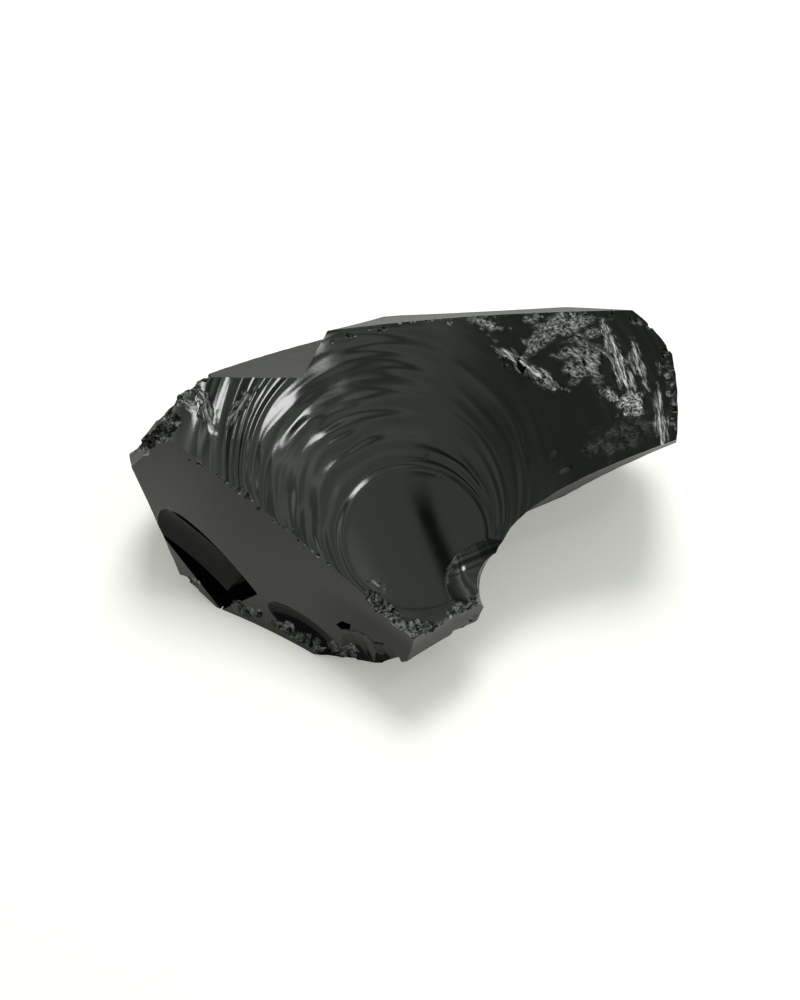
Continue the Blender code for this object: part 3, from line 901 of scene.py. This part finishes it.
# Each stop is a place in metres from the ceiling's middle and the strength of the glow there.
CEILING_GLOW = (
    (-1.40, 0.20), (-0.50, 0.24), (-0.40, 0.50), (-0.32, 0.30), (-0.22, 0.42), (-0.10, 0.80), (0.15, 0.88),
    (0.38, 0.92), (0.45, 1.50), (0.51, 0.70), (0.58, 0.55), (0.68, 2.00), (0.78, 1.10), (0.90, 0.60),
    (1.20, 0.30), (1.40, 0.20),
)
GLOW_ACROSS = (
    (-1.40, 0.25), (-0.84, 0.30), (-0.76, 1.30), (-0.68, 0.30), (-0.58, 1.50), (-0.50, 0.25), (-0.42, 0.30),
    (-0.34, 1.50), (-0.27, 0.35), (-0.20, 1.30), (-0.13, 1.00), (0.50, 1.00), (0.70, 0.60), (1.40, 0.50),
)
GAP_ACROSS = ((0.052, 1), (0.078, 0.02), (0.128, 0.02), (0.152, 1))
GAP_ALONG = ((-0.09, 1), (0.03, 0), (0.40, 0), (0.48, 1))

deselect_all()
bpy.ops.mesh.primitive_plane_add(
    size=CEILING_SIZE, location=(0, 0, CEILING_HEIGHT), rotation=(math.pi, 0, ROOM_TURN)
)
ceiling = bpy.context.object
ceiling.name = "ceiling"
plaster = bpy.data.materials.new("ceiling_glow")
plaster.use_nodes = True
nodes = plaster.node_tree.nodes
links = plaster.node_tree.links
nodes.clear()


def ramp_along(source, stops):
    """Soft ramp from stop to stop over the ceiling's own metres."""
    top = max(value for metres, value in stops)
    place = nodes.new("ShaderNodeMapRange")
    place.inputs["From Min"].default_value = -CEILING_SIZE / 2
    place.inputs["From Max"].default_value = CEILING_SIZE / 2
    links.new(source, place.inputs["Value"])
    ramp = nodes.new("ShaderNodeValToRGB")
    ramp.color_ramp.interpolation = "EASE"
    for spare in range(len(stops) - 2):
        ramp.color_ramp.elements.new(0.5)
    for element, (metres, value) in zip(ramp.color_ramp.elements, stops):
        element.position = metres / CEILING_SIZE + 0.5
        element.color = (value / top, value / top, value / top, 1)
    links.new(place.outputs["Result"], ramp.inputs["Fac"])
    return reckon("MULTIPLY", ramp.outputs["Color"], top)


where = nodes.new("ShaderNodeTexCoord")
axes = nodes.new("ShaderNodeSeparateXYZ")
links.new(where.outputs["Object"], axes.inputs[0])
along = axes.outputs["X"]
across = reckon("MULTIPLY", axes.outputs["Y"], -1.0)
glow = reckon("MULTIPLY", ramp_along(along, CEILING_GLOW), ramp_along(across, GLOW_ACROSS))
gap = reckon("MAXIMUM", ramp_along(along, GAP_ACROSS), ramp_along(across, GAP_ALONG))
emission = nodes.new("ShaderNodeEmission")
emission.inputs["Color"].default_value = CEILING_TINT
links.new(reckon("MULTIPLY", glow, gap), emission.inputs["Strength"])
surface = nodes.new("ShaderNodeOutputMaterial")
links.new(emission.outputs[0], surface.inputs["Surface"])
ceiling.data.materials.append(plaster)

# ---- The lamps and the sky ----
# A small bright lamp under the ceiling leaves the white glints on the ripples. A soft window
# behind lights the table, and isn't mirrored in the glass. The room around is dim.
LAMP_POWER = 0.62
LAMP_SIZE = (0.13, 0.09)
LAMP_DROP = 0.04
LAMP_PLACE = Matrix.Rotation(ROOM_TURN, 3, "Z") @ Vector((0.42, -0.315, CEILING_HEIGHT - LAMP_DROP))
WINDOW_POWER = 9.5
WINDOW_SIZE = (0.45, 0.45)
WINDOW_DISTANCE = 1.2
WINDOW_PLACE = compass((82, 62)) * WINDOW_DISTANCE
SKY_COLOUR = (0.97, 1.0, 0.96, 1)
SKY_GLOW = 0.28


def lamp(name, power, size, place, turn):
    """Flat lamp of a power and size at a place."""
    light = bpy.data.lights.new(name, "AREA")
    light.shape = "RECTANGLE"
    light.size, light.size_y = size
    light.energy = power
    panel = bpy.data.objects.new(name, light)
    bpy.context.scene.collection.objects.link(panel)
    panel.location = place
    panel.rotation_euler = turn
    return panel


lamp("ceiling_lamp", LAMP_POWER, LAMP_SIZE, LAMP_PLACE, (0, 0, ROOM_TURN))
toward_stone = (-WINDOW_PLACE).to_track_quat("-Z", "Y").to_euler()
window = lamp("window", WINDOW_POWER, WINDOW_SIZE, WINDOW_PLACE, toward_stone)
window.visible_glossy = False

sky = bpy.data.worlds.new("room")
sky.use_nodes = True
sky.node_tree.nodes["Background"].inputs["Color"].default_value = SKY_COLOUR
sky.node_tree.nodes["Background"].inputs["Strength"].default_value = SKY_GLOW
bpy.context.scene.world = sky
bpy.context.scene.view_settings.view_transform = "Standard"

# ---- The camera ----
# It looks down at the stone from the front and above, as someone does who bends over the
# table, and its lens is long enough to keep the stone's shape.
CAMERA_PLACE = Vector((-0.824, -214.762, 352.473)) * MM + LUMP_SHIFT
CAMERA_TILT = math.radians(32)
CAMERA_LENS = 87.408
SENSOR_WIDTH = 36
NEAREST_SEEN = 0.01

lens = bpy.data.cameras.new("camera")
lens.sensor_width = SENSOR_WIDTH
lens.lens = CAMERA_LENS
lens.clip_start = NEAREST_SEEN
camera = bpy.data.objects.new("camera", lens)
bpy.context.scene.collection.objects.link(camera)
camera.location = CAMERA_PLACE
camera.rotation_euler = (CAMERA_TILT, 0, 0)
bpy.context.scene.camera = camera
